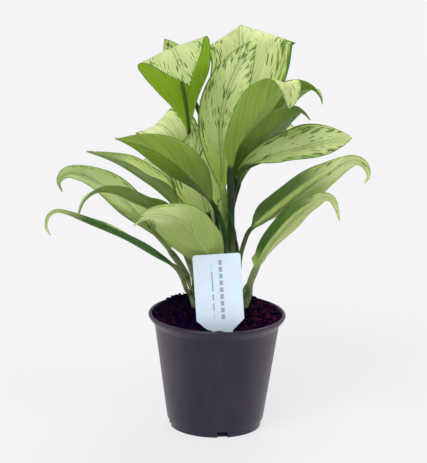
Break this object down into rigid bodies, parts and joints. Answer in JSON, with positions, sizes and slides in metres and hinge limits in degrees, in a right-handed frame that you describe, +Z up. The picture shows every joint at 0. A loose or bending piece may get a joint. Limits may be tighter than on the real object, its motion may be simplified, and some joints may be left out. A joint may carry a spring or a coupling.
{
  "type": "potted houseplant",
  "caption": "Bushy Chinese evergreen with arching silver-green flecked leaves on short canes, in a tapered dark nursery pot of bark soil with a blank plant label.",
  "frame": {"origin": "on the pot's axis, at the surface the pot stands on", "axes": "+Z up, -Y towards the side with the label, +X to the right when looking at the label"},
  "size_m": [0.2722, 0.2091, 0.346],
  "materials": {
    "pot_plastic": "satin injection-moulded dark plum-grey plastic",
    "bark_soil": "rough dark purple-brown composted bark",
    "label_card": "smooth pale blue-white plastic card with plain grey-blue bars",
    "cane": "smooth green ringed stem",
    "leaf": "soft sheen; upper side silver-green with dark green flecks and margin, underside plain green"
  },
  "bodies": {
    "root": {"pot": "pot_plastic", "soil": "bark_soil", "label": "label_card", "cane_left": "cane", "cane_centre": "cane", "cane_inner": "cane", "cane_right": "cane", "cane_back": "cane", "cane_rear": "cane", "leaf_crown_back": "leaf", "leaf_crown_front": "leaf", "leaf_top_left": "leaf", "leaf_top_left_behind": "leaf", "leaf_left_back": "leaf", "leaf_front_left": "leaf", "leaf_left_middle_back": "leaf", "leaf_left_upper": "leaf", "leaf_left_middle": "leaf", "leaf_left_lower": "leaf", "leaf_front": "leaf", "leaf_upright": "leaf", "leaf_right_front": "leaf", "leaf_right_crest": "leaf", "leaf_right_inner": "leaf", "leaf_right_upper": "leaf", "leaf_right_middle": "leaf", "leaf_right_lower": "leaf", "leaf_rear_left_low": "leaf", "leaf_rear_left": "leaf", "leaf_rear_middle_low": "leaf", "leaf_rear_middle": "leaf", "leaf_rear_right": "leaf", "leaf_rear_right_low": "leaf"}
  },
  "joints": []
}
